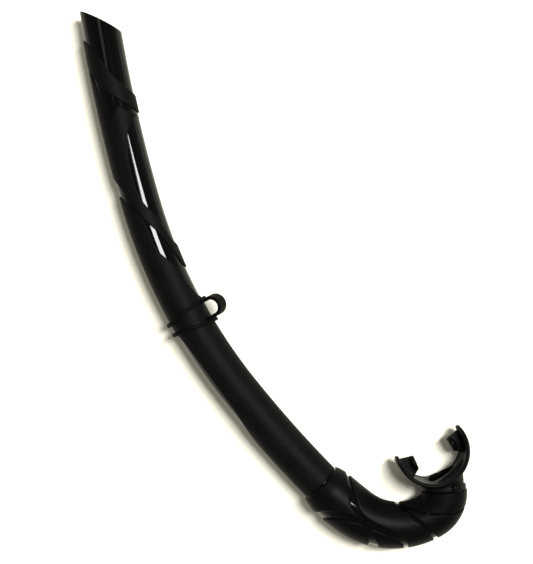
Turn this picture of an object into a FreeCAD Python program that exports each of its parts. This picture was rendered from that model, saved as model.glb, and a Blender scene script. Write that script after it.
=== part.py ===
"""Freediving snorkel lying on its side: a J-shaped tube in a level plane, with moulded-on soft bands,
a silicone mouthpiece on the elbow's spigot and a silicone keeper that slides along the barrel.

Millimetres, +Z up. The tube's centre line lies in the plane z = AXIS_Z. The barrel's mouth points
to +Y and the bend's inside faces +X, so the mouthpiece looks back along +Y.
A place on the tube is given by its station (length along the centre line from the mouth), its
angle round the tube in degrees (0 on the outside of the bend, 90 on top, 180 on the inside of the
bend) and its radius. Every band is the same above and below the centre plane.
"""
import FreeCAD
import Part
import math
import os

Vector = FreeCAD.Vector

# Centre line: where it starts, its heading there, and its tangent arcs (length, radius).
START_X, START_Y = -109.43, 165.12
START_HEADING = -80.72
BARREL_ARCS = [(119.0, 999.0), (135.0, 342.2), (77.6, 760.0)]
ELBOW_ARCS = [(28.0, 170.4), (51.0, 44.2), (19.4, 17.3)]
ARCS = BARREL_ARCS + ELBOW_ARCS
TUBE_END = sum(length for length, radius in ARCS)
AXIS_Z = 16.25
# How far the seam of each round surface is turned away from the centre plane, where the bands start.
SEAM_TURN = 33.0

# Barrel tube
BARREL_R = 12.0
BARREL_BORE_R = 10.2
BEVEL_STATION = 2.1
BEVEL_ANGLE = 35.0
SOCKET_START = 331.6
SOCKET_DEPTH = 16.0

# Elbow tube
ELBOW_BORE_R = 10.2
ELBOW_END_R = 13.2
ELBOW_SEAM_R = 12.9
ELBOW_BULGE_R = 15.1
ELBOW_BULGE_STATION = 352.0
ELBOW_SHOULDER = 18.0
ELBOW_TAPER = 27.0
SPIGOT_R = 10.6
SPIGOT_BORE_R = 8.8
SPIGOT_LENGTH = 4.9

# Moulded-on soft bands
MOULD_GAP = 0.08
SLEEVE_R = 12.7
BAND_R = 12.95
WRAP_THICKNESS = 1.15
SLEEVE_END = 331.2

# Mouthpiece: the lip flange is a curved plate about a line parallel to Z. The line's place is
# measured from the elbow's end: to the inside of the bend, and forward.
FLANGE_INWARD, FLANGE_FORWARD = 6.9, 27.2
FLANGE_OPENING = 117.0
FLANGE_OUTER_R = 23.1
FLANGE_INNER_R = 21.1
FLANGE_HALF_HEIGHTS = [(0, 15.8), (35, 15.8), (65, 14.6), (86, 12.0), (96, 8.2), (102, 3.5)]
NECK_R = 12.7
NECK_GAP = 0.3
NECK_RUNNING_GAP = 0.05
TAB_HALF_THICKNESS = 1.4
TAB_CORNERS = [(21.9, 97), (11.6, 92), (14.8, 55), (21.9, 56)]
LUG_WIDTH = 3.4
LUG_HALF_HEIGHT = 4.2
TIE_START = 0.2
TIE_WIDTH = 2.8
TIE_THICKNESS = 1.0
TIE_LOCK = (5.6, 4.4, 3.0)
TIE_LOCK_ANGLE = 26.0

# Keeper
KEEPER_STATION = 196.4
KEEPER_INNER_R = 13.05
KEEPER_OUTER_R = 15.3
KEEPER_RING_WIDTH = 2.6
KEEPER_UPPER_SHIFTS = (0.0, -5.0)
KEEPER_LOWER_SHIFTS = (6.4, 10.8)
EYE_SHIFT = 2.4
EYE_REACH = 20.0
EYE_R = 6.8
EYE_THICKNESS = 1.9
EYE_WIDTH = 8.8
EYE_SWIVEL = 28.0


def station(s):
    """Centre-line point and heading in radians at station s; straight before 0 and past the end."""
    x, y, heading = START_X, START_Y, math.radians(START_HEADING)
    rest = s
    if rest < 0:
        return x + rest * math.cos(heading), y + rest * math.sin(heading), heading
    for length, radius in ARCS:
        step = min(rest, length)
        turned = heading + step / radius
        x += radius * (math.sin(turned) - math.sin(heading))
        y -= radius * (math.cos(turned) - math.cos(heading))
        heading = turned
        rest -= step
        if rest <= 0:
            return x, y, heading
    return x + rest * math.cos(heading), y + rest * math.sin(heading), heading


def arc_centre(index):
    """Centre of the numbered arc of the centre line."""
    start = sum(length for length, radius in ARCS[:index])
    x, y, heading = station(start)
    radius = ARCS[index][1]
    return Vector(x - radius * math.sin(heading), y + radius * math.cos(heading), AXIS_Z)


def tube_point(s, angle, radius):
    """Point at a station, an angle round the tube and a radius from the centre line."""
    x, y, heading = station(s)
    inward = -radius * math.cos(math.radians(angle))
    up = radius * math.sin(math.radians(angle))
    return Vector(x - inward * math.sin(heading), y + inward * math.cos(heading), AXIS_Z + up)


def along(s):
    """Unit vector along the tube at station s."""
    heading = station(s)[2]
    return Vector(math.cos(heading), math.sin(heading), 0)


def inward(s):
    """Unit vector from the centre line towards the inside of the bend."""
    heading = station(s)[2]
    return Vector(-math.sin(heading), math.cos(heading), 0)


def centre(s):
    """Point on the centre line at station s."""
    return tube_point(s, 0, 0)


def smooth_line(points):
    """Smooth curve through (a, b) pairs, as a function of t from 0 to 1."""
    curve = Part.BSplineCurve()
    curve.interpolate([Vector(a, b, 0) for a, b in points])
    first, last = curve.FirstParameter, curve.LastParameter

    def at(t):
        p = curve.value(first + t * (last - first))
        return p.x, p.y
    return at


def elbow_radius(s):
    """Outer radius of the elbow: a steep shoulder at the seam, full over the socket, then a long taper."""
    away = s - ELBOW_BULGE_STATION
    if away > 0:
        return ELBOW_END_R + (ELBOW_BULGE_R - ELBOW_END_R) * math.exp(-(away / ELBOW_TAPER) ** 2)
    return ELBOW_SEAM_R + (ELBOW_BULGE_R - ELBOW_SEAM_R) * math.exp(-(away / ELBOW_SHOULDER) ** 6)


def pipe(s0, s1, radius):
    """Solid rod of round section along the centre line from s0 to s1, exact along every arc."""
    whole = None
    start = 0.0
    for index, (length, arc_radius) in enumerate(ARCS):
        low, high = max(s0, start), min(s1, start + length)
        if high - low > 1e-6:
            disc = Part.Face(Part.Wire(Part.Edge(Part.Circle(centre(low), along(low), radius))))
            disc.rotate(centre(low), along(low), SEAM_TURN)
            turn = math.degrees((high - low) / arc_radius)
            piece = disc.revolve(arc_centre(index), Vector(0, 0, 1), turn)
            whole = piece if whole is None else whole.fuse(piece)
        start += length
    return whole


def rod(base, direction, length, radius):
    """Straight round solid."""
    return Part.makeCylinder(radius, length, base, direction)


def patch_faces(place, rows, columns, start=True, end=True, lead=0):
    """Faces of a thin solid: place(t, v, side) gives its inner (side 0) and outer (side 1) surfaces.
    The narrow faces at t = 0 and t = 1 are left out unless start and end ask for them. Lead rows
    before t = 0 steer the surfaces' slope there and are trimmed off."""
    surfaces = []
    for side in (0, 1):
        grid = [[place(i / rows, j / columns, side) for j in range(columns + 1)]
                for i in range(-lead, rows + 1)]
        surface = Part.BSplineSurface()
        surface.interpolate(grid)
        surface.segment(surface.getUKnots()[lead], 1, 0, 1)
        surfaces.append(surface)
    faces = [surface.toShape() for surface in surfaces]
    inner, outer = surfaces
    borders = [(inner.vIso(0), outer.vIso(0)), (inner.vIso(1), outer.vIso(1))]
    if start:
        borders.append((inner.uIso(0), outer.uIso(0)))
    if end:
        borders.append((inner.uIso(1), outer.uIso(1)))
    faces += [Part.makeRuledSurface(low.toShape(), high.toShape(), 1) for low, high in borders]
    return faces


def sewn(faces):
    """The closed solid that the faces enclose."""
    sheet = Part.makeCompound(faces)
    sheet.sewShape()
    solid = Part.makeSolid(sheet.Shells[0])
    if solid.Volume < 0:
        solid.reverse()
    return solid


def region(low, high, r_in, r_out, rows=60, columns=4, closed=True):
    """Space between two edges, each a list of (station, angle) that starts at angle 0, with its mirror
    image below the centre plane. A closed one runs to angle 180 and goes all the way round."""
    low_at, high_at = smooth_line(low), smooth_line(high)

    def place(t, v, side):
        s0, a0 = low_at(abs(t))
        s1, a1 = high_at(abs(t))
        s, a = s0 + (s1 - s0) * v, math.copysign(a0 + (a1 - a0) * v, t)
        return tube_point(s, a, r_out(s) if side else r_in(s))
    faces = patch_faces(place, rows, columns, start=False, end=not closed, lead=4)
    mirrored = [face.mirror(Vector(0, 0, AXIS_Z), Vector(0, 0, 1)) for face in faces]
    return sewn(faces + mirrored)


def window(low, high, rows=24):
    """Cutter for an opening right through a skin on the barrel; its edges may pass angle 180."""
    low_at, high_at = smooth_line(low), smooth_line(high)

    def place(t, v, side):
        s0, a0 = low_at(t)
        s1, a1 = high_at(t)
        return tube_point(s0 + (s1 - s0) * v, a0 + (a1 - a0) * v, BAND_R + 1 if side else BARREL_R - 1)
    return sewn(patch_faces(place, rows, 4))


def ring_edge(s):
    """Square-cut edge at station s."""
    return [(s, angle) for angle in (0, 45, 90, 135, 180)]


def barrel_skin(low, high, radius):
    """Skin on the barrel between two edges, out to a radius."""
    return region(low, high, lambda s: BARREL_R + MOULD_GAP, lambda s: radius, rows=48, columns=24)


def elbow_skin(low, high, closed=True):
    """Skin on the elbow between two edges."""
    return region(low, high, lambda s: elbow_radius(s) + MOULD_GAP,
                  lambda s: elbow_radius(s) + WRAP_THICKNESS, rows=48, columns=24, closed=closed)


def bevel_cutter():
    """Everything beyond the slanted mouth plane, which leans back on the inside of the bend."""
    heading = math.degrees(station(BEVEL_STATION)[2])
    block = Part.makeBox(60, 120, 80, Vector(-60, -60, -40))
    block.rotate(Vector(0, 0, 0), Vector(0, 0, 1), heading - BEVEL_ANGLE)
    block.translate(centre(BEVEL_STATION))
    return block


def barrel_tube():
    end = SOCKET_START + SOCKET_DEPTH
    lead = rod(centre(0) - along(0) * 14, along(0), 14, BARREL_R)
    bore_lead = rod(centre(0) - along(0) * 14, along(0), 14, BARREL_BORE_R)
    body = pipe(0, end, BARREL_R).fuse(lead)
    bore = pipe(0, end, BARREL_BORE_R).fuse(bore_lead)
    return body.cut(bore).cut(bevel_cutter())


def elbow_tube():
    spigot_root = 3
    spigot = rod(centre(TUBE_END) - along(TUBE_END) * spigot_root, along(TUBE_END),
                 SPIGOT_LENGTH + spigot_root, SPIGOT_R)
    body = region(ring_edge(SOCKET_START), ring_edge(TUBE_END), lambda s: SPIGOT_BORE_R - 2,
                  elbow_radius, rows=40, columns=60).fuse(spigot)
    socket = pipe(SOCKET_START, SOCKET_START + SOCKET_DEPTH + 0.2, BARREL_R + MOULD_GAP)
    bore = pipe(SOCKET_START + SOCKET_DEPTH, TUBE_END - 6, ELBOW_BORE_R)
    throat = pipe(TUBE_END - 6, TUBE_END, SPIGOT_BORE_R)
    outlet = rod(centre(TUBE_END), along(TUBE_END), SPIGOT_LENGTH + 1, SPIGOT_BORE_R)
    for hollow in (socket, bore, throat, outlet):
        body = body.cut(hollow)
    return body


def upper_band():
    low = [(11.8, 0), (13.6, 22), (24.7, 69), (34.7, 92), (47.7, 138), (52.1, 180)]
    high = [(29.2, 0), (31.9, 18), (39.1, 42), (48.1, 73), (55.6, 109), (61.2, 143), (63.6, 180)]
    return barrel_skin(low, high, BAND_R)


def past_inside(points):
    """The points followed by their mirror images beyond angle 180."""
    return points + [(s, 360 - angle) for s, angle in reversed(points) if angle < 180]


def cross_band():
    """A forked band: both arms start outside the bend, and the gloss window opens between them."""
    low = [(30.6, 0), (33.4, 18.5), (41, 37), (52, 44.5), (62, 51), (66.2, 60), (64.6, 73), (58.8, 95),
           (62.1, 123), (65, 150), (67.1, 180)]
    high = [(99.1, 0), (104, 27), (117.1, 61), (131.1, 87), (137.1, 103), (147.1, 126), (164.1, 154), (168, 180)]
    gap_low = [(95.1, 91), (78.1, 106), (70.6, 125), (65.7, 152), (60.1, 180)]
    gap_high = [(111.1, 91), (120.1, 100), (129.1, 121), (148.1, 154), (152.1, 180)]
    whole = barrel_skin(low, high, BAND_R)
    return whole.cut(window(past_inside(gap_low), past_inside(gap_high)))


def sleeve_window():
    """Lens-shaped opening on the outside of the bend, where the gloss tube shows."""
    low = [(198.3, 0.2), (212.1, 34), (238.1, 46), (260, 40), (278, 20), (289, 0.2)]
    return window(low, [(s, -angle) for s, angle in low])


def barrel_sleeve():
    low = [(113.5, 0), (112.5, 19), (116.6, 40), (126.1, 71), (135.1, 88), (147.1, 91), (155.6, 102),
           (165.6, 125), (176.1, 137), (186, 154), (190, 180)]
    return barrel_skin(low, ring_edge(SLEEVE_END), SLEEVE_R).cut(sleeve_window())


def elbow_collar():
    low = ring_edge(SOCKET_START)
    high = [(341.5, 0), (342, 25), (344.4, 52), (349, 68), (354.5, 80), (361, 90), (356.3, 99), (349, 120),
            (344, 138), (341, 158), (339.5, 180)]
    return elbow_skin(low, high)


def elbow_long_wrap():
    low = [(393, 0), (392.6, 40), (390.5, 62), (385, 82), (377.5, 92.5), (368, 97), (362, 102), (357.2, 111),
           (353.4, 120.5), (349.2, 132), (345.2, 149), (342.6, 168), (342, 180)]
    high = [(406.5, 0), (404.6, 60), (403.4, 76), (401.2, 99), (395.9, 123), (391.8, 143), (387.6, 164),
            (386.4, 180)]
    return elbow_skin(low, high)


def elbow_heel_wrap():
    low = [(347, 0), (347.4, 28), (350.5, 51), (354.5, 64), (359.5, 75), (363.8, 80.5)]
    high = [(374.6, 0), (373.6, 32), (372.2, 54), (369, 73), (365.6, 82)]
    return elbow_skin(low, high, closed=False)


def elbow_belly_wrap():
    low = [(378.6, 0), (377.9, 34), (374.3, 59), (370.5, 78)]
    high = [(390.6, 0), (389.8, 42), (383.3, 67.5), (376.5, 79), (371.6, 81.5)]
    return elbow_skin(low, high, closed=False)


def elbow_lower_end_wrap():
    low = [(408.4, 0), (406.6, 58), (405.3, 75), (403.2, 98), (398.6, 121), (395.6, 135)]
    high = [(423.8, 0), (422, 38), (418.8, 69), (415.1, 90), (410.1, 107), (404.2, 121.3), (398.4, 136)]
    return elbow_skin(low, high, closed=False)


def elbow_upper_end_wrap():
    low = [(424.5, 0), (422.7, 38), (419.5, 69), (415.9, 90), (411, 107.8), (405.2, 122.3), (399.6, 137.5),
           (393.8, 158), (390.6, 180)]
    high = ring_edge(TUBE_END)
    return elbow_skin(low, high)


# Mouthpiece

def flange_centre():
    return centre(TUBE_END) + inward(TUBE_END) * FLANGE_INWARD + along(TUBE_END) * FLANGE_FORWARD


def flange_point(angle, radius, z):
    """Point about the flange's line; angle 0 is the back, where the neck joins."""
    a = math.radians(FLANGE_OPENING + 180 + angle)
    return flange_centre() + Vector(radius * math.cos(a), radius * math.sin(a), z)


def flange_plate():
    half_height = smooth_line(FLANGE_HALF_HEIGHTS)

    def place(t, v, side):
        angle, height = half_height(abs(2 * t - 1))
        return flange_point(math.copysign(angle, t - 0.5), FLANGE_OUTER_R if side else FLANGE_INNER_R,
                            height * (2 * v - 1))
    return sewn(patch_faces(place, 60, 8))


def slab(corners, z_low, z_high):
    outline = Part.makePolygon(corners + corners[:1])
    face = Part.Face(outline)
    face.translate(Vector(0, 0, z_low))
    return face.extrude(Vector(0, 0, z_high - z_low))


def bite_tab(side):
    """Plate from the flange's arm towards the middle, with a thicker lug along its inner edge."""
    corners = [flange_point(side * angle, radius, 0) for radius, angle in TAB_CORNERS]
    plate = slab(corners, -TAB_HALF_THICKNESS, TAB_HALF_THICKNESS)
    tip, heel = corners[1], corners[2]
    run = (heel - tip).normalize()
    out = (corners[0] - tip).normalize()
    out = (out - run * out.dot(run)).normalize() * LUG_WIDTH
    lug = slab([tip, heel, heel + out, tip + out], -LUG_HALF_HEIGHT, LUG_HALF_HEIGHT)
    return plate.fuse(lug)


def mouthpiece():
    base = centre(TUBE_END) + along(TUBE_END) * NECK_GAP
    mouth_space = rod(flange_centre() - Vector(0, 0, 30), Vector(0, 0, 1), 60, FLANGE_INNER_R)
    neck = rod(base, along(TUBE_END), 18, NECK_R).cut(mouth_space)
    body = flange_plate().fuse(neck)
    body = body.cut(rod(base, along(TUBE_END), SPIGOT_LENGTH, SPIGOT_R + NECK_RUNNING_GAP))
    body = body.cut(rod(base, along(TUBE_END), 22, SPIGOT_BORE_R))
    return body.fuse(bite_tab(1)).fuse(bite_tab(-1))


def mouthpiece_tie():
    base = centre(TUBE_END) + along(TUBE_END) * (NECK_GAP + TIE_START)
    ring = rod(base, along(TUBE_END), TIE_WIDTH, NECK_R + MOULD_GAP + TIE_THICKNESS)
    ring = ring.cut(rod(base, along(TUBE_END), TIE_WIDTH, NECK_R + MOULD_GAP))
    width, length, height = TIE_LOCK
    lock = Part.makeBox(width, length, height, Vector(-width / 2, -0.4, NECK_R + 0.3))
    lock = lock.cut(Part.makeCylinder(NECK_R + MOULD_GAP, 20, Vector(0, -5, 0), Vector(0, 1, 0)))
    lock.rotate(Vector(0, 0, 0), Vector(0, 1, 0), TIE_LOCK_ANGLE)
    lock.rotate(Vector(0, 0, 0), Vector(0, 0, 1), math.degrees(station(TUBE_END)[2]) - 90)
    lock.translate(base)
    return ring.fuse(lock)


# Keeper

def keeper_ring(shift_outer, shift_inner):
    """Ring round the barrel; its stations at the outside and the inside of the bend differ if it leans."""
    middle, swing = (shift_outer + shift_inner) / 2, (shift_outer - shift_inner) / 2
    steps = 12

    def edge(offset):
        return [(KEEPER_STATION + middle + swing * math.cos(math.pi * i / steps) + offset, 180.0 * i / steps)
                for i in range(steps + 1)]
    half = KEEPER_RING_WIDTH / 2
    return region(edge(-half), edge(half), lambda s: KEEPER_INNER_R, lambda s: KEEPER_OUTER_R, rows=24)


def eye_outline(radius, middle, reach):
    """U outline in the plane of the eye, x along the tube and y away from it."""
    left, right = Vector(middle - radius, 10, 0), Vector(middle + radius, 10, 0)
    left_top, right_top = Vector(middle - radius, reach, 0), Vector(middle + radius, reach, 0)
    crown = Part.Arc(left_top, Vector(middle, reach + radius, 0), right_top)
    edges = [Part.LineSegment(left, left_top).toShape(), crown.toShape(),
             Part.LineSegment(right_top, right).toShape(), Part.LineSegment(right, left).toShape()]
    return Part.Face(Part.Wire(edges))


def keeper_eye():
    hole = eye_outline(EYE_R - EYE_THICKNESS, EYE_SHIFT, EYE_REACH)
    strap = eye_outline(EYE_R, EYE_SHIFT, EYE_REACH).cut(hole)
    strap = strap.extrude(Vector(0, 0, EYE_WIDTH))
    strap.translate(Vector(0, 0, -EYE_WIDTH / 2))
    s = KEEPER_STATION
    turn = FreeCAD.Matrix(along(s).x, inward(s).x, 0, centre(s).x,
                          along(s).y, inward(s).y, 0, centre(s).y,
                          0, 0, 1, AXIS_Z, 0, 0, 0, 1)
    strap = strap.transformGeometry(turn)
    strap.rotate(centre(s), along(s), EYE_SWIVEL)
    return strap.cut(pipe(s - 25, s + 35, KEEPER_INNER_R + 0.4))


def keeper():
    upper = keeper_ring(*KEEPER_UPPER_SHIFTS)
    lower = keeper_ring(*KEEPER_LOWER_SHIFTS)
    return upper.fuse(lower).fuse(keeper_eye())


NODES = [barrel_tube, barrel_sleeve, upper_band, cross_band, elbow_tube, elbow_collar, elbow_long_wrap,
         elbow_heel_wrap, elbow_belly_wrap, elbow_lower_end_wrap, elbow_upper_end_wrap, mouthpiece,
         mouthpiece_tie, keeper]

os.makedirs("parts", exist_ok=True)
for make in NODES:
    shape = make()
    print(make.__name__, "solids", len(shape.Solids), "valid", shape.isValid(),
          "volume", round(shape.Volume), "z", round(shape.BoundBox.ZMin, 2), round(shape.BoundBox.ZMax, 2))
    shape.exportStep("parts/" + make.__name__ + ".step")
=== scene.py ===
"""Looks for the freediving snorkel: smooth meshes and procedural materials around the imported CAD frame."""
import math

import bpy
import bmesh
import numpy as np
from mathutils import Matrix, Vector


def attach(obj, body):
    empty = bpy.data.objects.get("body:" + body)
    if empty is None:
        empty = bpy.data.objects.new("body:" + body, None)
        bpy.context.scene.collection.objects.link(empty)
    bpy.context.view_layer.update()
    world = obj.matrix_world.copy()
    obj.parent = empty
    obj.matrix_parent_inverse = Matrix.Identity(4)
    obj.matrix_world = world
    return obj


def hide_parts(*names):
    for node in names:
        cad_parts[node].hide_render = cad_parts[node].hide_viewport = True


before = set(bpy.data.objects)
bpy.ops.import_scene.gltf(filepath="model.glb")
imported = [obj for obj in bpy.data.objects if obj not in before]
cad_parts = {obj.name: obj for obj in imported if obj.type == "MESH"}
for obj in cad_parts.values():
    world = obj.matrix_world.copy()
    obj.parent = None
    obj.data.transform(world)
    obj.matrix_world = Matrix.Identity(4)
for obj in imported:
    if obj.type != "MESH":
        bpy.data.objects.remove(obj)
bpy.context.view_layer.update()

MM = 0.001

# The tube's centre line and sections, in millimetres, as in the CAD part.
START = (-109.43, 165.12)
START_HEADING = math.radians(-80.72)
ARCS = [(119.0, 999.0), (135.0, 342.2), (77.6, 760.0), (28.0, 170.4), (51.0, 44.2), (19.4, 17.3)]
TUBE_END = 430.0
AXIS_Z = 16.25
BARREL_R, BORE_R = 12.0, 10.2
BEVEL_STATION, BEVEL_ANGLE = 2.1, 35.0
SOCKET_START, SOCKET_END = 331.6, 347.6
ELBOW_END_R, ELBOW_SEAM_R, ELBOW_BULGE_R = 13.2, 12.9, 15.1
ELBOW_BULGE_STATION, ELBOW_SHOULDER, ELBOW_TAPER = 352.0, 18.0, 27.0
SPIGOT_R, SPIGOT_BORE_R, SPIGOT_LENGTH = 10.6, 8.8, 4.9
SLEEVE_END = 331.2
UNDERLAP = 0.15


def centre_line(s):
    """Points and headings of the centre line at stations s; straight before 0 and past the end."""
    s = np.asarray(s, float)
    x = np.full(s.shape, START[0])
    y = np.full(s.shape, START[1])
    h = np.full(s.shape, START_HEADING)
    before = np.minimum(s, 0.0)
    x = x + before * np.cos(h)
    y = y + before * np.sin(h)
    rest = np.maximum(s, 0.0)
    for length, radius in ARCS:
        step = np.minimum(rest, length)
        turned = h + step / radius
        x = x + radius * (np.sin(turned) - np.sin(h))
        y = y - radius * (np.cos(turned) - np.cos(h))
        h = turned
        rest = rest - step
    x = x + rest * np.cos(h)
    y = y + rest * np.sin(h)
    return x, y, h


def tube_points(s, angle, radius):
    """Points at a station, an angle round the tube in degrees (0 outside the bend, 90 on top) and a radius."""
    x, y, h = centre_line(s)
    a = np.radians(np.asarray(angle, float))
    inward = -radius * np.cos(a)
    z = AXIS_Z + radius * np.sin(a) + 0 * x
    return np.stack([x - inward * np.sin(h), y + inward * np.cos(h), z], axis=-1)


def elbow_radius(s):
    away = np.asarray(s, float) - ELBOW_BULGE_STATION
    after = ELBOW_END_R + (ELBOW_BULGE_R - ELBOW_END_R) * np.exp(-(away / ELBOW_TAPER) ** 2)
    before = ELBOW_SEAM_R + (ELBOW_BULGE_R - ELBOW_SEAM_R) * np.exp(-(away / ELBOW_SHOULDER) ** 6)
    return np.where(away > 0, after, before)


def barrel_radius(s):
    return BARREL_R + 0 * np.asarray(s, float)


def smooth_line(points, count=321):
    """Natural cubic spline through (station, angle) pairs, sampled evenly."""
    p = np.array(points, float)
    knots = np.concatenate([[0], np.cumsum(np.linalg.norm(np.diff(p, axis=0), axis=1))])
    gaps = np.diff(knots)
    n = len(p)
    system = np.eye(n)
    right = np.zeros((n, p.shape[1]))
    for i in range(1, n - 1):
        system[i, i - 1:i + 2] = gaps[i - 1], 2 * (gaps[i - 1] + gaps[i]), gaps[i]
        right[i] = 6 * ((p[i + 1] - p[i]) / gaps[i] - (p[i] - p[i - 1]) / gaps[i - 1])
    bend = np.linalg.solve(system, right)
    t = np.linspace(0, knots[-1], count)
    k = np.clip(np.searchsorted(knots, t, side="right") - 1, 0, n - 2)
    g = gaps[k][:, None]
    u = (t - knots[k])[:, None]
    w = g - u
    return (bend[k] * w ** 3 + bend[k + 1] * u ** 3) / (6 * g) + (p[k] / g - bend[k] * g / 6) * w \
        + (p[k + 1] / g - bend[k + 1] * g / 6) * u


def at(line, t):
    """The (station, angle) pairs of a sampled line at parameters t from 0 to 1."""
    grid = np.linspace(0, 1, len(line))
    return np.stack([np.interp(t, grid, line[:, 0]), np.interp(t, grid, line[:, 1])], axis=-1)


def mirrored(line):
    return np.stack([line[:, 0], -line[:, 1]], axis=-1)


# Meshes

def make_object(name, vertices, faces, merge=1e-4, smooth=True):
    """Object from points in millimetres, with doubled points merged and faces turned outward."""
    mesh = bpy.data.meshes.new(name)
    bm = bmesh.new()
    made = [bm.verts.new(Vector(v) * MM) for v in vertices]
    for face in faces:
        corners = [made[i] for i in face]
        if len(set(corners)) > 2:
            try:
                bm.faces.new(corners)
            except ValueError:
                pass
    if merge:
        bmesh.ops.remove_doubles(bm, verts=bm.verts, dist=merge * MM)
    bmesh.ops.dissolve_degenerate(bm, edges=bm.edges, dist=1e-7)
    bmesh.ops.recalc_face_normals(bm, faces=bm.faces)
    for face in bm.faces:
        face.smooth = smooth
    bm.to_mesh(mesh)
    bm.free()
    obj = bpy.data.objects.new(name, mesh)
    bpy.context.scene.collection.objects.link(obj)
    return obj


def grid_faces(rows, columns, offset=0, wrap_rows=False, wrap_columns=False, flip=False):
    faces = []
    for i in range(rows if wrap_rows else rows - 1):
        for j in range(columns if wrap_columns else columns - 1):
            a = offset + i * columns + j
            b = offset + i * columns + (j + 1) % columns
            c = offset + ((i + 1) % rows) * columns + (j + 1) % columns
            d = offset + ((i + 1) % rows) * columns + j
            faces.append((a, d, c, b) if flip else (a, b, c, d))
    return faces


def end_caps(rows, columns):
    """The two end faces of a tube-like grid."""
    last = (rows - 1) * columns
    return [tuple(range(columns)), tuple(last + j for j in reversed(range(columns)))]


def distance_to_lines(points, lines):
    """Distance from each point to the nearest of some polylines."""
    best = np.full(len(points), 1e9)
    for line in lines:
        start, step = line[:-1], np.diff(line, axis=0)
        length2 = np.maximum((step ** 2).sum(1), 1e-12)
        for low in range(0, len(points), 4000):
            p = points[low:low + 4000, None, :] - start[None]
            t = np.clip((p * step[None]).sum(2) / length2[None], 0, 1)
            d = np.linalg.norm(p - t[..., None] * step[None], axis=2).min(1)
            best[low:low + 4000] = np.minimum(best[low:low + 4000], d)
    return best


class Skin:
    """A soft layer on a tube, with rounded edges, built from strips between pairs of lines."""

    def __init__(self, base, thickness, rounding, edges, pitch=1.6):
        self.base, self.thickness, self.rounding, self.pitch = base, thickness, rounding, pitch
        self.edges = [tube_points(line[:, 0], line[:, 1], base(line[:, 0])) for line in edges]
        self.vertices, self.faces = [], []

    def rise(self, points):
        near = np.clip(distance_to_lines(points, self.edges) / self.rounding, 0, 1)
        return self.thickness * np.sqrt(np.clip(1 - (1 - near) ** 2, 0, 1))

    def columns(self, low, high, round_low=True, round_high=True):
        """Places across a strip: close together near a rounded edge."""
        a = tube_points(low[:, 0], low[:, 1], self.base(low[:, 0]))
        b = tube_points(high[:, 0], high[:, 1], self.base(high[:, 0]))
        across = b - a
        width = np.maximum(np.linalg.norm(across, axis=1), 1e-6)
        across = across / width[:, None]
        steps = np.array([0.0, 0.05, 0.16, 0.33, 0.56, 0.82, 1.1]) * self.rounding
        middle = max(3, int(math.ceil(width.max() / self.pitch)))
        places = []
        for line, wanted in ((a, round_low), (b, round_high)):
            run = np.gradient(line, axis=0)
            run = run / np.maximum(np.linalg.norm(run, axis=1), 1e-9)[:, None]
            slant = np.maximum(np.linalg.norm(np.cross(run, across), axis=1), 0.16)
            reach = steps[None] / slant[:, None] if wanted else np.zeros((len(a), 1))
            limit = np.minimum(1.0, 0.42 * width / np.maximum(reach[:, -1], 1e-6)) if wanted else 1.0
            places.append(reach * (limit[:, None] if wanted else 1.0) / width[:, None])
        first, last = places[0], 1 - places[1][:, ::-1]
        blend = np.linspace(0, 1, middle + 2)[1:-1][None]
        between = first[:, -1:] + (last[:, :1] - first[:, -1:]) * blend
        return np.concatenate([first, between, last], axis=1)

    def strip(self, low, high, round_low=True, round_high=True, wall_low=True, wall_high=True,
              wall_first=False, wall_last=False, warp=None, columns=None):
        """Adds the strip between two lines of the same number of (station, angle) pairs."""
        v = self.columns(low, high, round_low, round_high) if columns is None else columns
        place = low[:, None, :] + (high - low)[:, None, :] * v[..., None]
        s, a = place[..., 0], place[..., 1]
        if warp is not None:
            a = warp(s, a)
        rows, cols = s.shape
        radius = self.base(s)
        ground = tube_points(s, a, radius).reshape(-1, 3)
        top = tube_points(s, a, radius - 0.04 + self.rise(ground).reshape(rows, cols)).reshape(-1, 3)
        under = tube_points(s, a, radius - UNDERLAP).reshape(-1, 3)
        offset = len(self.vertices)
        self.vertices += list(top) + list(under)
        n = rows * cols
        self.faces += grid_faces(rows, cols, offset)
        self.faces += grid_faces(rows, cols, offset + n, flip=True)

        def wall(indices):
            for i, j in zip(indices[:-1], indices[1:]):
                self.faces.append((offset + i, offset + j, offset + n + j, offset + n + i))
        if wall_low:
            wall([i * cols for i in range(rows)])
        if wall_high:
            wall([i * cols + cols - 1 for i in range(rows)])
        if wall_first:
            wall(list(range(cols)))
        if wall_last:
            wall([(rows - 1) * cols + j for j in range(cols)])

    def finish(self, name):
        return make_object(name, self.vertices, self.faces)


def both_sides(line):
    """A line given from angle 0, carried round to its mirror image."""
    return np.concatenate([mirrored(line)[:0:-1], line])


def with_mirrors(*lines):
    return [side for line in lines for side in (line, mirrored(line))]


def ring_band(name, low_points, high_points, base, thickness, rounding, rows, pitch=1.6):
    """A band right round the tube: its two lines run from angle 0 to 180 and are mirrored."""
    low, high = smooth_line(low_points), smooth_line(high_points)
    skin = Skin(base, thickness, rounding, with_mirrors(low, high), pitch)
    t = np.linspace(0, 1, rows + 1)
    skin.strip(both_sides(at(low, t)), both_sides(at(high, t)))
    return skin.finish(name)


def patch_band(name, low_points, high_points, base, thickness, rounding, rows=44, pitch=1.2):
    """A band that stops short on both sides: its two lines start at angle 0 and are joined at their ends."""
    low, high = smooth_line(low_points), smooth_line(high_points)
    end = np.linspace(low[-1], high[-1], 20)
    skin = Skin(base, thickness, rounding, with_mirrors(low, high, end), pitch)
    t = 1 - np.linspace(1, 0, rows + 1) ** 1.6
    skin.strip(both_sides(at(low, t)), both_sides(at(high, t)), wall_first=True, wall_last=True)
    return skin.finish(name)


def ring_edge(s):
    """A square-cut edge at one station."""
    return [(s, a) for a in (0, 45, 90, 135, 180)]


# Tubes

TUBE_SEGMENTS = 176


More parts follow.
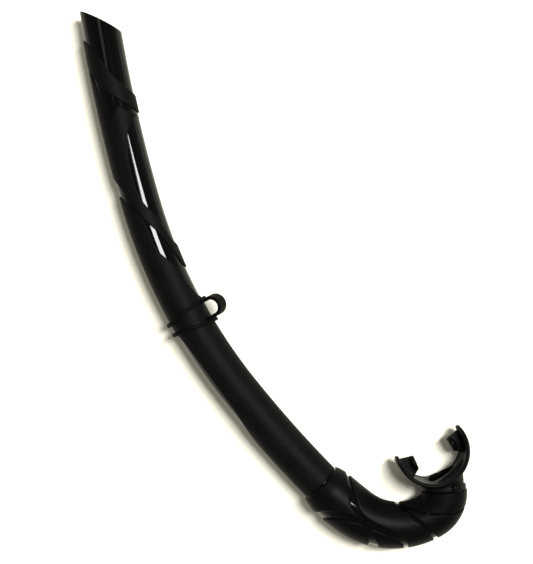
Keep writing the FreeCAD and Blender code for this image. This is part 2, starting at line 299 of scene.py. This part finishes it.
def barrel():
    """The barrel's wall as one loop of rows: up the outside, round the slanted lip, down the bore."""
    lip_run, ends = 1.6, 170
    lip = [(lip_run, BARREL_R), (0.55, BARREL_R), (0.25, 11.94), (0.08, 11.8), (0.0, 11.58), (0.0, 10.62),
           (0.08, 10.4), (0.25, 10.26), (0.55, BORE_R), (lip_run, BORE_R)]
    angles = np.linspace(0, 360, TUBE_SEGMENTS, endpoint=False)
    x, y, h = centre_line(BEVEL_STATION)
    lean = h - math.radians(BEVEL_ANGLE)
    normal = np.array([math.cos(lean), math.sin(lean), 0.0])
    origin = np.array([float(x), float(y), AXIS_Z])

    def cut_station(radius):
        """Stations where lines along the tube at this radius meet the slanted mouth."""
        s = np.zeros(TUBE_SEGMENTS)
        for _ in range(12):
            miss = (tube_points(s, angles, radius) - origin) @ normal
            s = s - miss / math.cos(math.radians(BEVEL_ANGLE))
        return s

    def run_down(radius):
        top = cut_station(radius) + lip_run
        return [(top + (SOCKET_END - top) * k / ends, radius) for k in range(1, ends + 1)]
    rows = run_down(BARREL_R)[::-1]
    rows += [(cut_station(radius) + offset, radius) for offset, radius in lip]
    rows += run_down(BORE_R)
    s = np.array([stations for stations, _ in rows])
    r = np.array([radius for _, radius in rows])[:, None]
    points = tube_points(s, angles[None], r).reshape(-1, 3)
    faces = grid_faces(len(rows), TUBE_SEGMENTS, wrap_rows=True, wrap_columns=True)
    return make_object("tube_barrel", points, faces)


def elbow():
    """The elbow's wall as one loop of (station, radius) pairs: outside, spigot, bore and socket."""
    step = 2.0
    outer = [(s, float(elbow_radius(s))) for s in np.arange(SOCKET_START + 0.4, TUBE_END - 0.59, 1.2)]
    spigot_end = TUBE_END + SPIGOT_LENGTH
    profile = [(SOCKET_START, BARREL_R + 0.12), (SOCKET_START, ELBOW_SEAM_R)] + outer + [
        (TUBE_END - 0.25, ELBOW_END_R - 0.06), (TUBE_END - 0.06, ELBOW_END_R - 0.2),
        (TUBE_END, ELBOW_END_R - 0.4), (TUBE_END, SPIGOT_R + 0.15), (TUBE_END + 0.15, SPIGOT_R),
        (spigot_end - 0.5, SPIGOT_R),
        (spigot_end - 0.15, SPIGOT_R - 0.08), (spigot_end, SPIGOT_R - 0.3), (spigot_end, SPIGOT_BORE_R + 0.3),
        (spigot_end - 0.15, SPIGOT_BORE_R + 0.08), (spigot_end - 0.5, SPIGOT_BORE_R),
        (TUBE_END - 5.5, SPIGOT_BORE_R), (TUBE_END - 6.4, BORE_R), (SOCKET_END + 0.3, BORE_R),
        (SOCKET_END + 0.2, BORE_R + 0.4), (SOCKET_END + 0.2, BARREL_R - 0.1), (SOCKET_END, BARREL_R + 0.08)]
    loop = []
    for (s0, r0), (s1, r1) in zip(profile, profile[1:] + profile[:1]):
        parts = max(1, int(math.ceil(abs(s1 - s0) / step)))
        loop += [(s0 + (s1 - s0) * k / parts, r0 + (r1 - r0) * k / parts) for k in range(parts)]
    s, r = np.array(loop).T[..., None]
    angles = np.linspace(0, 360, TUBE_SEGMENTS, endpoint=False)[None]
    points = tube_points(s, angles, r).reshape(-1, 3)
    faces = grid_faces(len(loop), TUBE_SEGMENTS, wrap_rows=True, wrap_columns=True)
    return make_object("tube_elbow", points, faces)


# Moulded-on bands of the barrel

BAND_THICKNESS, BAND_ROUNDING = 0.99, 0.75
SLEEVE_THICKNESS, SLEEVE_ROUNDING = 0.74, 0.6


def upper_band():
    return ring_band("band_upper", [(11.8, 0), (13.6, 22), (24.7, 69), (34.7, 92), (47.7, 138), (52.1, 180)],
                     [(29.2, 0), (31.9, 18), (39.1, 42), (48.1, 73), (55.6, 109), (61.2, 143), (63.6, 180)],
                     barrel_radius, BAND_THICKNESS, BAND_ROUNDING, rows=100)


def by_angle(line):
    """Station of a line as a function of the angle."""
    return lambda a: np.interp(a, line[:, 1], line[:, 0])


def cross_band():
    """A forked band: its root wraps the outside of the bend, and its two arms wrap the inside."""
    low = smooth_line([(30.6, 0), (33.4, 18.5), (41, 37), (52, 44.5), (62, 51), (66.2, 60), (64.6, 73),
                       (58.8, 95), (62.1, 123), (65, 150), (67.1, 180)])
    high = smooth_line([(99.1, 0), (104, 27), (117.1, 61), (131.1, 87), (137.1, 103), (147.1, 126),
                        (164.1, 154), (168, 180)])
    gap_low = smooth_line([(95.1, 91), (78.1, 106), (70.6, 125), (65.7, 152), (60.1, 180)])
    gap_high = smooth_line([(111.1, 91), (120.1, 100), (129.1, 121), (148.1, 154), (152.1, 180)])
    fork = 91.0
    tip = np.array([(s, fork) for s in np.linspace(95.1, 111.1, 24)])
    edges = with_mirrors(low, high, gap_low, gap_high, tip)
    skin = Skin(barrel_radius, BAND_THICKNESS, BAND_ROUNDING, edges, pitch=1.5)
    root = np.concatenate([np.arange(0, 84, 1.5), [84.5, 86, 87.4, 88.6, 89.5, 90.2, 90.7, fork]])
    arms = np.concatenate([[91.6, 92.6, 94, 96], np.arange(98, 181, 2.0)])
    angles = np.concatenate([root, arms])
    first, last = by_angle(low)(angles), by_angle(high)(angles)
    share = (np.minimum(angles, fork) / fork) ** 2
    root_low, root_high = 60.0, 90.0
    fork_low, fork_high = gap_low[0, 0], gap_high[0, 0]
    in_root = angles <= fork
    inner_low = np.where(in_root, root_low + (fork_low - root_low) * share, by_angle(gap_low)(angles))
    inner_high = np.where(in_root, root_high + (fork_high - root_high) * share, by_angle(gap_high)(angles))
    inner_low = np.maximum(inner_low, first + 0.02)
    n = len(root)
    for sign in (1, -1):
        a0, a1, b0, b1 = (np.stack([stations, sign * angles], axis=-1)
                          for stations in (first, inner_low, inner_high, last))
        arm_low = skin.columns(a0, a1)
        arm_high = skin.columns(b0, b1)
        for start, stop, closed in ((0, n, False), (n - 1, len(angles), True)):
            skin.strip(a0[start:stop], a1[start:stop], wall_high=closed, columns=arm_low[start:stop])
            skin.strip(b0[start:stop], b1[start:stop], wall_low=closed, columns=arm_high[start:stop])
        skin.strip(a1[:n], b0[:n], round_low=False, round_high=False, wall_low=False, wall_high=False,
                   wall_last=True)
    return skin.finish("band_cross")


def barrel_sleeve():
    """The long sleeve, with a lens-shaped opening on the outside of the bend."""
    low = smooth_line([(113.5, 0), (112.5, 19), (116.6, 40), (126.1, 71), (135.1, 88), (147.1, 91),
                       (155.6, 102), (165.6, 125), (176.1, 137), (186, 154), (190, 180)])
    high = smooth_line(ring_edge(SLEEVE_END))
    lens = smooth_line([(198.3, 0.0), (212.1, 34), (238.1, 46), (260, 40), (278, 20), (289, 0.0)])
    skin = Skin(barrel_radius, SLEEVE_THICKNESS, SLEEVE_ROUNDING, with_mirrors(low, high, lens), pitch=1.25)
    near = np.array([0, 0.12, 0.4, 0.9, 1.7, 2.8, 4.2, 6.0, 8.2]) / 180
    t = np.concatenate([near, np.linspace(near[-1], 1, 84)[1:]])
    for sign in (1, -1):
        def round_the_opening(s, a):
            wide = np.maximum(np.interp(s, lens[:, 0], lens[:, 1], left=0, right=0), 0)
            return sign * (wide + (180 - wide) * (a / 180))
        skin.strip(at(low, t), at(high, t), warp=round_the_opening, wall_first=True)
    return skin.finish("sleeve_main")


# Elbow bands

WRAP_THICKNESS, WRAP_ROUNDING = 1.19, 0.95


def elbow_bands():
    """The six moulded-on wraps of the elbow, each named after the CAD node it replaces."""
    end_rounding = 0.6
    made = []
    made.append(ring_band("skin_elbow_collar", ring_edge(SOCKET_START),
                          [(341.5, 0), (342, 25), (344.4, 52), (349, 68), (354.5, 80), (361, 90), (356.3, 99),
                           (349, 120), (344, 138), (341, 158), (339.5, 180)],
                          elbow_radius, WRAP_THICKNESS, 1.5, rows=120))
    made.append(ring_band("skin_elbow_long_wrap",
                          [(393, 0), (392.6, 40), (390.5, 62), (385, 82), (377.5, 92.5), (368, 97), (362, 102),
                           (357.2, 111), (353.4, 120.5), (349.2, 132), (345.2, 149), (342.6, 168), (342, 180)],
                          [(406.5, 0), (404.6, 60), (403.4, 76), (401.2, 99), (395.9, 123), (391.8, 143),
                           (387.6, 164), (386.4, 180)],
                          elbow_radius, WRAP_THICKNESS, WRAP_ROUNDING, rows=120))
    made.append(patch_band("skin_elbow_heel_wrap",
                           [(347, 0), (347.4, 28), (350.5, 51), (354.5, 64), (359.5, 75), (363.8, 80.5)],
                           [(374.6, 0), (373.6, 32), (372.2, 54), (369, 73), (365.6, 82)],
                           elbow_radius, WRAP_THICKNESS, WRAP_ROUNDING))
    made.append(patch_band("skin_elbow_belly_wrap", [(378.6, 0), (377.9, 34), (374.3, 59), (370.5, 78)],
                           [(390.6, 0), (389.8, 42), (383.3, 67.5), (376.5, 79), (371.6, 81.5)],
                           elbow_radius, WRAP_THICKNESS, WRAP_ROUNDING))
    made.append(patch_band("skin_elbow_lower_end_wrap",
                           [(408.4, 0), (406.6, 58), (405.3, 75), (403.2, 98), (398.6, 121), (395.6, 135)],
                           [(423.8, 0), (422, 38), (418.8, 69), (415.1, 90), (410.1, 107), (404.2, 121.3),
                            (398.4, 136)], elbow_radius, WRAP_THICKNESS, end_rounding))
    made.append(ring_band("skin_elbow_upper_end_wrap",
                          [(424.5, 0), (422.7, 38), (419.5, 69), (415.9, 90), (411, 107.8), (405.2, 122.3),
                           (399.6, 137.5), (393.8, 158), (390.6, 180)],
                          ring_edge(TUBE_END), elbow_radius, WRAP_THICKNESS, end_rounding, rows=110))
    return made


# Swept and blended soft parts

def sweep(frames, section, closed=False):
    """Points and faces of a section carried along frames of (origin, first axis, second axis)."""
    points = []
    for origin, first, second in frames:
        points += [origin + first * u + second * v for u, v in section]
    rows, columns = len(frames), len(section)
    faces = grid_faces(rows, columns, wrap_rows=closed, wrap_columns=True)
    if not closed:
        faces += end_caps(rows, columns)
    return points, faces


def rounded_section(width, height, power=3.0, count=24):
    """A superellipse: a higher power gives squarer corners."""
    turn = np.linspace(0, 2 * math.pi, count, endpoint=False)
    return [(0.5 * width * math.copysign(abs(math.cos(t)) ** (2 / power), math.cos(t)),
             0.5 * height * math.copysign(abs(math.sin(t)) ** (2 / power), math.sin(t))) for t in turn]


def joined(name, parts):
    vertices, faces = [], []
    for points, part_faces in parts:
        offset = len(vertices)
        vertices += [tuple(p) for p in points]
        faces += [tuple(i + offset for i in f) for f in part_faces]
    return make_object(name, vertices, faces, merge=0)


def apply_modifiers(obj):
    """Replaces the mesh by its evaluated one."""
    graph = bpy.context.evaluated_depsgraph_get()
    mesh = bpy.data.meshes.new_from_object(obj.evaluated_get(graph))
    obj.modifiers.clear()
    obj.data = mesh
    for face in mesh.polygons:
        face.use_smooth = True


def blended(obj, voxel, smooth=4, cutters=()):
    """Melts overlapping parts into one moulded body; cutters are taken out of it."""
    remesh = obj.modifiers.new("melt", "REMESH")
    remesh.mode, remesh.voxel_size, remesh.adaptivity = "VOXEL", voxel * MM, 0.0
    apply_modifiers(obj)
    for cutter in cutters:
        cut = obj.modifiers.new("cut", "BOOLEAN")
        cut.operation, cut.solver, cut.object = "DIFFERENCE", "EXACT", cutter
        apply_modifiers(obj)
        bpy.data.objects.remove(cutter, do_unlink=True)
    if cutters:
        remesh = obj.modifiers.new("melt", "REMESH")
        remesh.mode, remesh.voxel_size = "VOXEL", voxel * MM
        apply_modifiers(obj)
    soften = obj.modifiers.new("soften", "SMOOTH")
    soften.factor, soften.iterations = 0.5, smooth
    apply_modifiers(obj)
    return obj


# Mouthpiece

UP = np.array([0.0, 0.0, 1.0])
END_X, END_Y, END_HEADING = (float(v) for v in centre_line(TUBE_END))
END = np.array([END_X, END_Y, AXIS_Z])
FORWARD = np.array([math.cos(END_HEADING), math.sin(END_HEADING), 0.0])
OUTWARD = np.array([math.sin(END_HEADING), -math.cos(END_HEADING), 0.0])
FLANGE = END - OUTWARD * 6.9 + FORWARD * 27.2
FLANGE_OPENING = 117.0
FLANGE_R = 22.1


def flange_direction(angle):
    """Unit vector from the flange's centre, at an angle from the middle of its curve."""
    a = math.radians(FLANGE_OPENING + 180 + angle)
    return np.array([math.cos(a), math.sin(a), 0.0])


def flange_section(half):
    """(outward, upward) loop of the lip sheet with a bead along both edges, for a half height."""
    thick = 0.95
    bead = min(1.25, half * 0.45)
    upper = [(thick, half - 2.6 * bead), (thick + 0.12, half - 1.7 * bead), (thick + 0.2, half - 0.9 * bead),
             (0.62, half - 0.22 * bead), (0.0, half), (-0.85, half - 0.25 * bead), (-1.55, half - bead),
             (-1.45, half - 1.9 * bead), (-thick, half - 2.9 * bead)]
    return upper + [(out, -up) for out, up in reversed(upper)]


def flange():
    heights = smooth_line([(0, 15.8), (35, 15.8), (65, 14.6), (86, 12.0), (96, 8.2), (102, 3.5)])
    vertices, rows = [], 170
    for angle in np.linspace(-heights[-1, 0], heights[-1, 0], rows):
        section = flange_section(float(np.interp(abs(angle), heights[:, 0], heights[:, 1])))
        out = flange_direction(angle)
        vertices += [FLANGE + out * (FLANGE_R + rho) + UP * z for rho, z in section]
    columns = len(section)
    return vertices, grid_faces(rows, columns, wrap_columns=True) + end_caps(rows, columns)


def neck():
    """Collar over the spigot, spreading where it runs into the flange."""
    vertices, count, rows, neck_r, gap = [], 120, 26, 12.7, 0.35
    aside = float((END - FLANGE) @ OUTWARD)
    ahead = float((FLANGE - END) @ FORWARD)
    for i in range(rows):
        v = i / (rows - 1)
        for k in range(count):
            t = 2 * math.pi * k / count
            spread = 2.6 * max(0.0, v - 0.62) ** 2 / 0.38 ** 2
            r = neck_r + spread - (gap if i == 0 else 0.0)
            out = r * math.cos(t)
            reach = math.sqrt(FLANGE_R ** 2 - min(abs(out + aside), FLANGE_R - 0.8) ** 2)
            run = gap + (ahead - reach - 0.05) * v
            vertices.append(END + OUTWARD * out + UP * (r * math.sin(t)) + FORWARD * run)
    return vertices, grid_faces(rows, count, wrap_columns=True) + end_caps(rows, count)


TAB_CORNERS = [(21.9, 97), (11.6, 92), (14.8, 55), (21.9, 56)]
TAB_HALF_THICKNESS = 1.45


def slab(outline, low, high):
    """A flat plate from its outline, between two heights."""
    n = len(outline)
    vertices = [p + UP * low for p in outline] + [p + UP * high for p in outline]
    faces = [tuple(range(n))[::-1], tuple(range(n, 2 * n))]
    faces += [(i, (i + 1) % n, n + (i + 1) % n, n + i) for i in range(n)]
    return vertices, faces


def tab(side):
    """One bite tab: a flat plate from the flange, with a fat lug along its free edge."""
    corners = [FLANGE + flange_direction(side * angle) * radius for radius, angle in TAB_CORNERS]
    plate = slab(corners, -TAB_HALF_THICKNESS, TAB_HALF_THICKNESS)
    tip, heel = corners[1], corners[2]
    run = (heel - tip) / np.linalg.norm(heel - tip)
    out = corners[0] - tip
    out = out - run * out.dot(run)
    out = out / np.linalg.norm(out)
    length = np.linalg.norm(heel - tip)
    frames = []
    for k in range(15):
        v = k / 14
        swell = math.sin(math.pi * min(max(v, 0.04), 0.96)) ** 0.35
        frames.append((tip + run * (length * v) + out * 1.7, out * swell, UP * swell))
    lug = sweep(frames, rounded_section(3.5, 8.6, 3.2, 28))
    return [plate, lug]


def plug(radius, start, stop, name):
    """Round cutter along the tube's end direction."""
    frames = [(END + FORWARD * d, OUTWARD, UP) for d in (start, stop)]
    turn = np.linspace(0, 2 * math.pi, 96, endpoint=False)
    section = [(radius * math.cos(t), radius * math.sin(t)) for t in turn]
    points, faces = sweep(frames, section)
    return make_object(name, points, faces, merge=0)


def mouthpiece():
    obj = joined("mouthpiece_soft", [flange(), neck()] + tab(1) + tab(-1))
    cutters = [plug(SPIGOT_BORE_R, -4, 24, "bore_cutter"),
               plug(SPIGOT_R + 0.05, -4, 0.3 + SPIGOT_LENGTH, "seat_cutter")]
    return blended(obj, 0.42, smooth=5, cutters=cutters)


LOCK_ANGLE, LOCK_R = 26.0, 14.35


def tie():
    """Nylon tie round the neck, toothed outside, with its ribbed lock."""
    count, band_r, band_middle = 240, 13.28, 1.9
    frames = []
    for k in range(count):
        t = 2 * math.pi * k / count
        out = OUTWARD * math.sin(t) + UP * math.cos(t)
        ridge = 0.07 if k % 4 < 2 else 0.0
        frames.append((END + FORWARD * band_middle + out * (band_r + ridge), out, FORWARD))
    parts = [sweep(frames, rounded_section(1.0, 2.75, 4.5, 20), closed=True)]
    turn = math.radians(LOCK_ANGLE)
    out = OUTWARD * math.sin(turn) + UP * math.cos(turn)
    side = OUTWARD * math.cos(turn) - UP * math.sin(turn)
    frames = []
    for run, scale in ((0.1, 0.8), (0.25, 0.93), (0.5, 1.0), (4.1, 1.0), (4.35, 0.93), (4.5, 0.8)):
        frames.append((END + FORWARD * run + out * LOCK_R, side * scale, out * scale))
    parts.append(sweep(frames, rounded_section(5.6, 3.0, 6.0, 36)))
    slant = (FORWARD * 0.75 + side * 0.66)
    slant = slant / np.linalg.norm(slant)
    across = np.cross(slant, out)
    for k in range(6):
        middle = END + FORWARD * 2.3 + out * (LOCK_R + 1.47) + across * (k - 2.5) * 0.78
        half = 2.1 - 0.22 * abs(k - 2.5)
        frames = [(middle + slant * d, across, out) for d in (-half, half)]
        parts.append(sweep(frames, rounded_section(0.36, 0.42, 2.4, 12)))
    return parts


# Keeper

KEEPER_STATION = 196.4
KEEPER_INNER_R, KEEPER_OUTER_R, KEEPER_RING_WIDTH = 13.05, 15.3, 2.6
KEEPER_UPPER, KEEPER_LOWER = (0.0, -5.0), (6.4, 10.8)
EYE_SHIFT, EYE_FOOT, EYE_REACH, EYE_SWIVEL = 2.4, 13.9, 20.0, 28.0
EYE_R, EYE_WALL, EYE_WIDTH = 6.8, 2.3, 8.8


def keeper_ring(shifts):
    """One ring of the keeper, tilted: its shifts are its stations outside and inside the bend."""
    outer, inner = shifts
    middle, swing = (outer + inner) / 2, (outer - inner) / 2
    section = rounded_section(KEEPER_RING_WIDTH, KEEPER_OUTER_R - KEEPER_INNER_R, 3.2, 20)
    middle_r = (KEEPER_INNER_R + KEEPER_OUTER_R) / 2
    rows, vertices = 140, []
    for k in range(rows):
        a = 360.0 * k / rows
        s = KEEPER_STATION + middle + swing * math.cos(math.radians(a))
        vertices += [tube_points(s + along, a, middle_r + out) for along, out in section]
    return vertices, grid_faces(rows, len(section), wrap_rows=True, wrap_columns=True)


def keeper_eye():
    """The strap's loop, standing off the inside of the bend and swivelled towards the top."""
    x, y, h = (float(v) for v in centre_line(KEEPER_STATION))
    along = np.array([math.cos(h), math.sin(h), 0.0])
    inward = np.array([-math.sin(h), math.cos(h), 0.0])
    turn = math.radians(EYE_SWIVEL)
    away = inward * math.cos(turn) + UP * math.sin(turn)
    across = np.cross(along, away)
    origin = np.array([x, y, AXIS_Z])
    r = EYE_R - EYE_WALL / 2
    foot = np.linspace(EYE_FOOT, EYE_REACH, 6)
    path = [(EYE_SHIFT - r, d) for d in foot[:-1]]
    path += [(EYE_SHIFT - r * math.cos(t), EYE_REACH + r * math.sin(t)) for t in np.linspace(0, math.pi, 41)]
    path += [(EYE_SHIFT + r, d) for d in foot[-2::-1]]
    path = np.array(path)
    run = np.gradient(path, axis=0)
    run = run / np.linalg.norm(run, axis=1)[:, None]
    frames = []
    for (u, d), (du, dd) in zip(path, run):
        side = along * dd - away * du
        frames.append((origin + along * u + away * d, side, across))
    return sweep(frames, rounded_section(EYE_WALL, EYE_WIDTH, 9.0, 40))


def keeper():
    obj = joined("keeper_soft", [keeper_ring(KEEPER_UPPER), keeper_ring(KEEPER_LOWER), keeper_eye()])
    return blended(obj, 0.3, smooth=4)


# Materials

def node(tree, kind, **inputs):
    """New shader node with some inputs set; underscores in their names stand for spaces."""
    made = tree.nodes.new(kind)
    for key, value in inputs.items():
        made.inputs[key.replace("_", " ")].default_value = value
    return made


def material(name, dark, light, rough, specular, grain, grain_scale, rough_spread=0.06, painted_edge_highlight=0.5, speck=0.0):
    """Black moulded material: mottled colour, a painted highlight that lightens sharp and convex edges, uneven
    gloss and a fine surface grain.
    """
    mat = bpy.data.materials.new(name)
    mat.use_nodes = True
    tree = mat.node_tree
    shader = tree.nodes["Principled BSDF"]
    link = tree.links.new
    place = tree.nodes.new("ShaderNodeTexCoord")
    cloud = node(tree, "ShaderNodeTexNoise", Scale=60.0, Detail=5.0, Roughness=0.6)
    fine = node(tree, "ShaderNodeTexNoise", Scale=900.0, Detail=3.0, Roughness=0.6)
    link(place.outputs["Object"], cloud.inputs["Vector"])
    link(place.outputs["Object"], fine.inputs["Vector"])
    mix = tree.nodes.new("ShaderNodeMix")
    mix.data_type = "RGBA"
    mix.inputs["A"].default_value = (*dark, 1)
    mix.inputs["B"].default_value = (*light, 1)
    blend = tree.nodes.new("ShaderNodeMath")
    blend.operation = "MULTIPLY"
    link(cloud.outputs["Fac"], blend.inputs[0])
    link(fine.outputs["Fac"], blend.inputs[1])
    # Painted highlight: the colour is lightened where the surface is sharply convex (pointiness), standing in
    # for light glinting along edges.
    geometry = tree.nodes.new("ShaderNodeNewGeometry")
    edge = tree.nodes.new("ShaderNodeMapRange")
    edge.inputs["From Min"].default_value = 0.52
    edge.inputs["From Max"].default_value = 0.62
    edge.inputs["To Max"].default_value = painted_edge_highlight
    link(geometry.outputs["Pointiness"], edge.inputs["Value"])
    total = tree.nodes.new("ShaderNodeMath")
    total.operation = "ADD"
    total.use_clamp = True
    link(blend.outputs[0], total.inputs[0])
    link(edge.outputs[0], total.inputs[1])
    link(total.outputs[0], mix.inputs["Factor"])
    colour = mix.outputs["Result"]
    if speck:
        dust = node(tree, "ShaderNodeTexVoronoi", Scale=420.0)
        link(place.outputs["Object"], dust.inputs["Vector"])
        dot = tree.nodes.new("ShaderNodeMapRange")
        dot.inputs["From Min"].default_value = 0.05
        dot.inputs["From Max"].default_value = 0.09
        dot.inputs["To Min"].default_value = speck
        dot.inputs["To Max"].default_value = 0.0
        link(dust.outputs["Distance"], dot.inputs["Value"])
        rare = tree.nodes.new("ShaderNodeMapRange")
        rare.inputs["From Min"].default_value = 0.6
        rare.inputs["From Max"].default_value = 0.72
        link(cloud.outputs["Fac"], rare.inputs["Value"])
        both = tree.nodes.new("ShaderNodeMath")
        both.operation = "MULTIPLY"
        link(dot.outputs[0], both.inputs[0])
        link(rare.outputs[0], both.inputs[1])
        dusty = tree.nodes.new("ShaderNodeMix")
        dusty.data_type = "RGBA"
        dusty.inputs["B"].default_value = (0.16, 0.16, 0.15, 1)
        link(both.outputs[0], dusty.inputs["Factor"])
        link(colour, dusty.inputs["A"])
        colour = dusty.outputs["Result"]
    link(colour, shader.inputs["Base Color"])
    uneven = tree.nodes.new("ShaderNodeMapRange")
    uneven.inputs["To Min"].default_value = rough - rough_spread
    uneven.inputs["To Max"].default_value = rough + rough_spread
    link(cloud.outputs["Fac"], uneven.inputs["Value"])
    link(uneven.outputs[0], shader.inputs["Roughness"])
    pits = node(tree, "ShaderNodeTexNoise", Scale=grain_scale, Detail=2.0, Roughness=0.5)
    link(place.outputs["Object"], pits.inputs["Vector"])
    bump = node(tree, "ShaderNodeBump", Strength=1.0, Distance=grain * MM)
    link(pits.outputs["Fac"], bump.inputs["Height"])
    link(bump.outputs["Normal"], shader.inputs["Normal"])
    shader.inputs["Specular IOR Level"].default_value = specular
    return mat


def black(level, blue=0.0):
    return (level, level, level + blue)


GLOSS = material("gloss_black_plastic", black(0.0005, 0.0001), black(0.0022, 0.0001), 0.06, 0.12, 0.0012, 700.0,
                 rough_spread=0.02, painted_edge_highlight=0.4, speck=0.25)
SOFT = material("soft_black_overmould", black(0.0016, 0.0001), black(0.0062), 0.54, 0.034, 0.03, 3800.0,
                rough_spread=0.08, painted_edge_highlight=0.4, speck=0.3)
WRAP = material("soft_black_bands", black(0.0010, 0.0001), black(0.0042), 0.42, 0.032, 0.012, 3000.0,
                rough_spread=0.07, painted_edge_highlight=0.3, speck=0.2)
SILICONE = material("silicone_black", black(0.0010), black(0.0040, -0.0001), 0.42, 0.04, 0.01, 1600.0,
                    rough_spread=0.07, painted_edge_highlight=0.4, speck=0.2)
KEEPER = material("keeper_black", black(0.0012), black(0.0040), 0.58, 0.03, 0.012, 2400.0,
                  rough_spread=0.07, painted_edge_highlight=0.15)
NYLON = material("tie_black_nylon", black(0.0012), black(0.0044), 0.42, 0.05, 0.01, 2600.0, painted_edge_highlight=0.3)


def place_piece(obj, body, nodes, mat):
    obj.data.materials.clear()
    obj.data.materials.append(mat)
    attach(obj, body)
    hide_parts(*nodes)


place_piece(barrel(), "tube", ["barrel_tube"], GLOSS)
place_piece(elbow(), "tube", ["elbow_tube"], GLOSS)
place_piece(upper_band(), "tube", ["upper_band"], SOFT)
place_piece(cross_band(), "tube", ["cross_band"], SOFT)
place_piece(barrel_sleeve(), "tube", ["barrel_sleeve"], SOFT)
for band in elbow_bands():
    place_piece(band, "tube", [band.name.removeprefix("skin_")], WRAP)
place_piece(mouthpiece(), "mouthpiece", ["mouthpiece"], SILICONE)
place_piece(joined("neck_tie", tie()), "mouthpiece", ["mouthpiece_tie"], NYLON)
place_piece(keeper(), "keeper", ["keeper"], KEEPER)


# Floor, light and camera

def floor():
    mesh = bpy.data.meshes.new("floor")
    half = 3.0
    corners = [(-half, -half, 0), (half, -half, 0), (half, half, 0), (-half, half, 0)]
    mesh.from_pydata(corners, [], [(0, 1, 2, 3)])
    obj = bpy.data.objects.new("floor", mesh)
    bpy.context.scene.collection.objects.link(obj)
    mat = bpy.data.materials.new("pale_floor")
    mat.use_nodes = True
    shader = mat.node_tree.nodes["Principled BSDF"]
    shader.inputs["Base Color"].default_value = (0.88, 0.85, 0.73, 1)
    shader.inputs["Roughness"].default_value = 0.7
    shader.inputs["Specular IOR Level"].default_value = 0.1
    obj.data.materials.append(mat)


def area_light(name, place, target, size, power):
    data = bpy.data.lights.new(name, "AREA")
    data.shape = "RECTANGLE"
    data.size, data.size_y = size
    data.energy = power
    obj = bpy.data.objects.new(name, data)
    obj.location = place
    obj.rotation_euler = (Vector(target) - Vector(place)).to_track_quat("-Z", "Y").to_euler()
    bpy.context.scene.collection.objects.link(obj)


floor()
area_light("key", (0.52, 0.3, 1.55), (0.0, 0.0, 0.0), (0.27, 0.62), 46.0)
area_light("top_fill", (-0.3, 0.5, 1.55), (-0.1, 0.15, 0.0), (0.4, 0.22), 0.6)

world = bpy.data.worlds.new("studio")
bpy.context.scene.world = world
world.use_nodes = True
sky = world.node_tree
back = sky.nodes["Background"]
ramp = sky.nodes.new("ShaderNodeValToRGB")
coord = sky.nodes.new("ShaderNodeTexCoord")
split = sky.nodes.new("ShaderNodeSeparateXYZ")
sky.links.new(coord.outputs["Generated"], split.inputs[0])
sky.links.new(split.outputs["Z"], ramp.inputs["Fac"])
sky.links.new(ramp.outputs["Color"], back.inputs["Color"])
ramp.color_ramp.elements[0].position = 0.0
ramp.color_ramp.elements[0].color = (0.57, 0.56, 0.51, 1)
ramp.color_ramp.elements[1].position = 0.75
ramp.color_ramp.elements[1].color = (0.28, 0.275, 0.255, 1)
middle_band = ramp.color_ramp.elements.new(0.3)
middle_band.color = (0.46, 0.45, 0.41, 1)
back.inputs["Strength"].default_value = 1.0

camera_data = bpy.data.cameras.new("camera")
camera = bpy.data.objects.new("camera", camera_data)
camera.location = (-0.004283, -0.001249, AXIS_Z * MM + 0.745)
camera_data.lens = 75.28
camera_data.sensor_width = 36.0
bpy.context.scene.collection.objects.link(camera)
bpy.context.scene.camera = camera
bpy.context.scene.view_settings.view_transform = "Standard"
